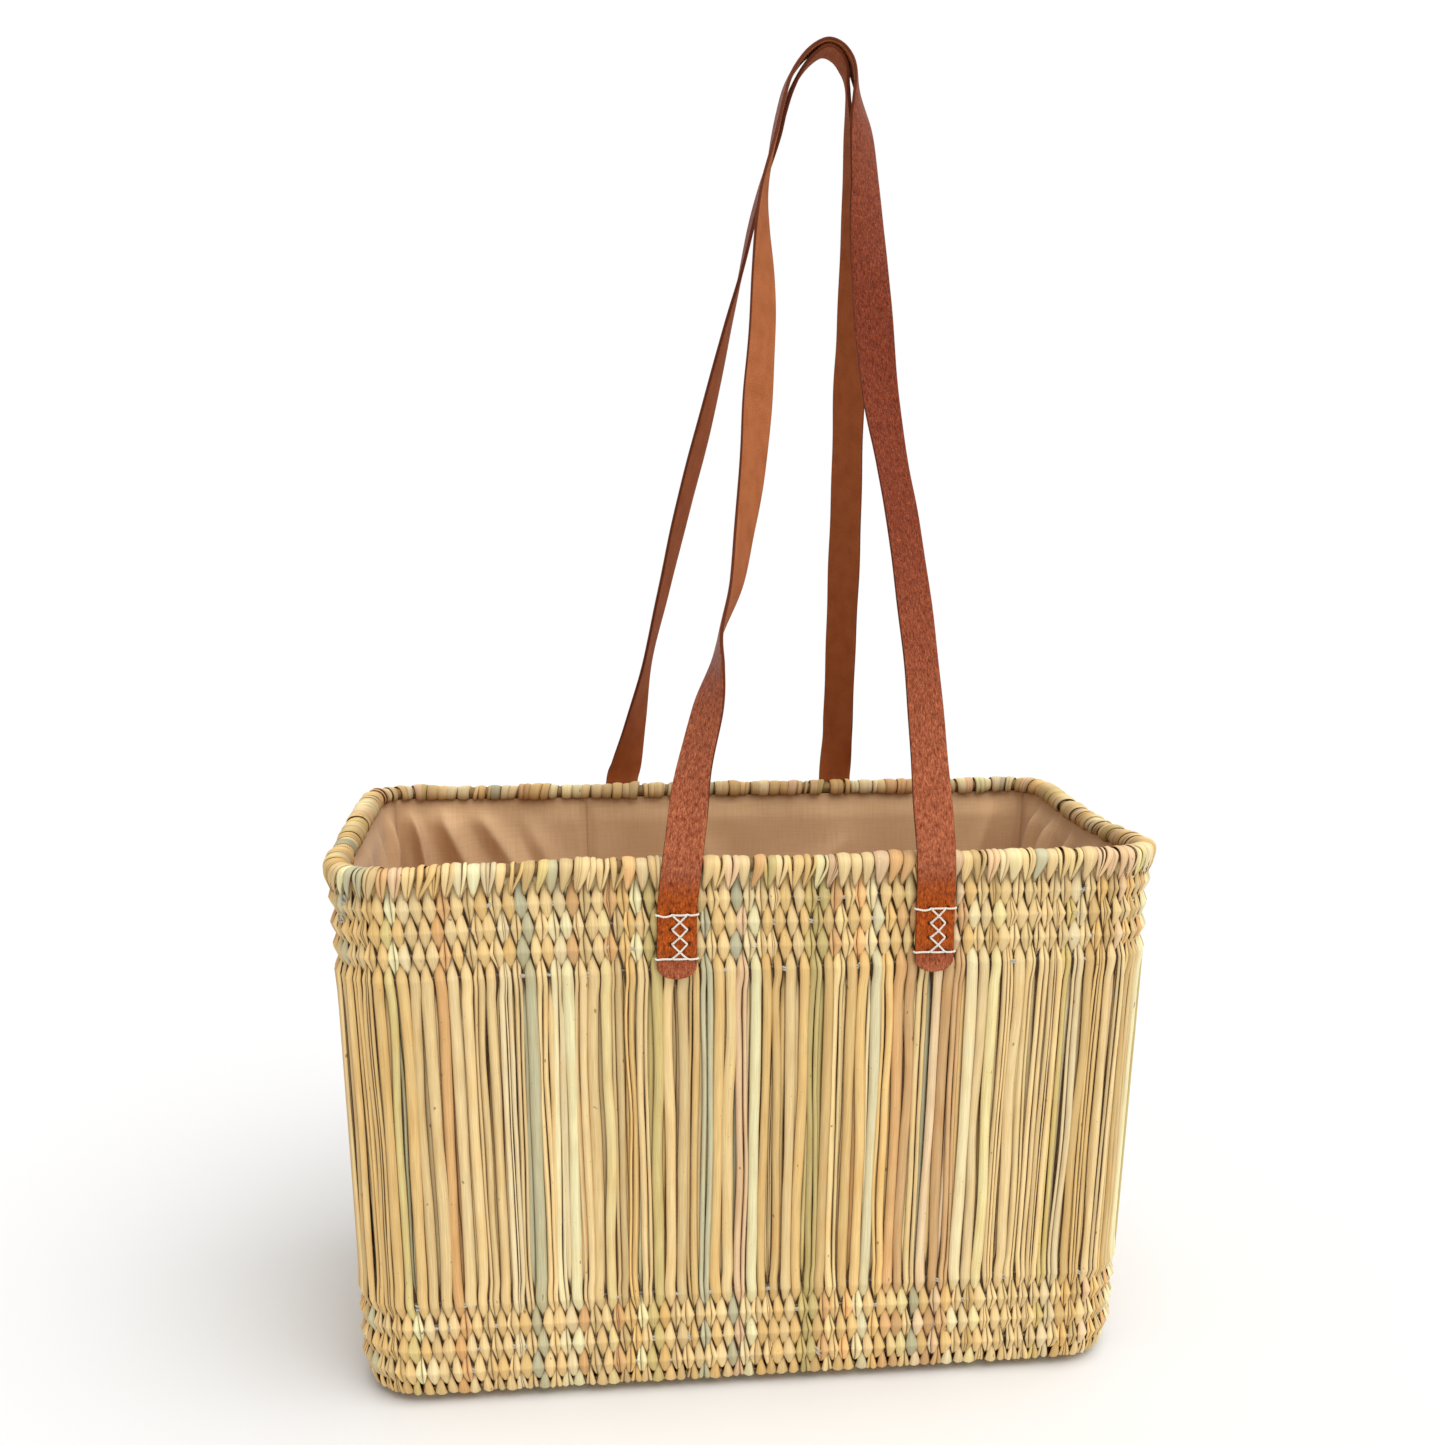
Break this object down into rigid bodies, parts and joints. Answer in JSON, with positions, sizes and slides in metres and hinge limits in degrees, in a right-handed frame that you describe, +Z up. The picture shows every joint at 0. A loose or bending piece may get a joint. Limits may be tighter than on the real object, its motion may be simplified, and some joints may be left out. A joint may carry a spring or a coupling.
{
  "type": "woven market basket",
  "caption": "Rectangular open basket of upright reeds with woven bands above and below, a cotton lining and two long leather shoulder straps.",
  "frame": {"origin": "on the ground under the middle of the basket", "axes": "+Z up, +X to the right along the long front wall, +Y from the front wall to the back wall"},
  "size_m": [0.4312, 0.221, 0.7048],
  "materials": {
    "reed": "dried straw-yellow reed, satin skin, colour varying from reed to reed",
    "twine": "undyed cream-grey twisted cord",
    "cotton_lining": "plain woven khaki-tan cotton, matte",
    "leather": "reddish tan grain side with a low sheen, matte brown flesh side",
    "waxed_thread": "off-white waxed thread"
  },
  "bodies": {
    "basket": {"reeds_front": "reed", "reeds_right": "reed", "reeds_back": "reed", "reeds_left": "reed", "base_reeds": "reed", "rim_core": "reed", "rim_binding": "reed", "upper_cord_1": "twine", "upper_cord_2": "twine", "upper_cord_3": "twine", "upper_cord_4": "twine", "lower_cord_1": "twine", "lower_cord_2": "twine", "lower_cord_3": "twine", "lower_cord_4": "twine", "base_cord_front": "twine", "base_cord_middle": "twine", "base_cord_back": "twine", "lining_front": "cotton_lining", "lining_right": "cotton_lining", "lining_back_right": "cotton_lining", "lining_back_left": "cotton_lining", "lining_left": "cotton_lining", "lining_base": "cotton_lining", "strap_end_front_left": "leather", "strap_end_front_right": "leather", "strap_end_back_left": "leather", "strap_end_back_right": "leather", "thread_front_left": "waxed_thread", "thread_front_right": "waxed_thread", "thread_back_left": "waxed_thread", "thread_back_right": "waxed_thread"},
    "front_handle": {"front_handle_strap": "leather"},
    "back_handle": {"back_handle_strap": "leather"}
  },
  "joints": [
    {"name": "front_handle_fold", "type": "hinge", "parent": "basket", "child": "front_handle", "pos_m": [0.0241, -0.10786, 0.2621], "axis": [1, 0, 0], "range_deg": [0, 135]},
    {"name": "back_handle_fold", "type": "hinge", "parent": "basket", "child": "back_handle", "pos_m": [0.00925, 0.10786, 0.2621], "axis": [-1, 0, 0], "range_deg": [0, 135]}
  ]
}
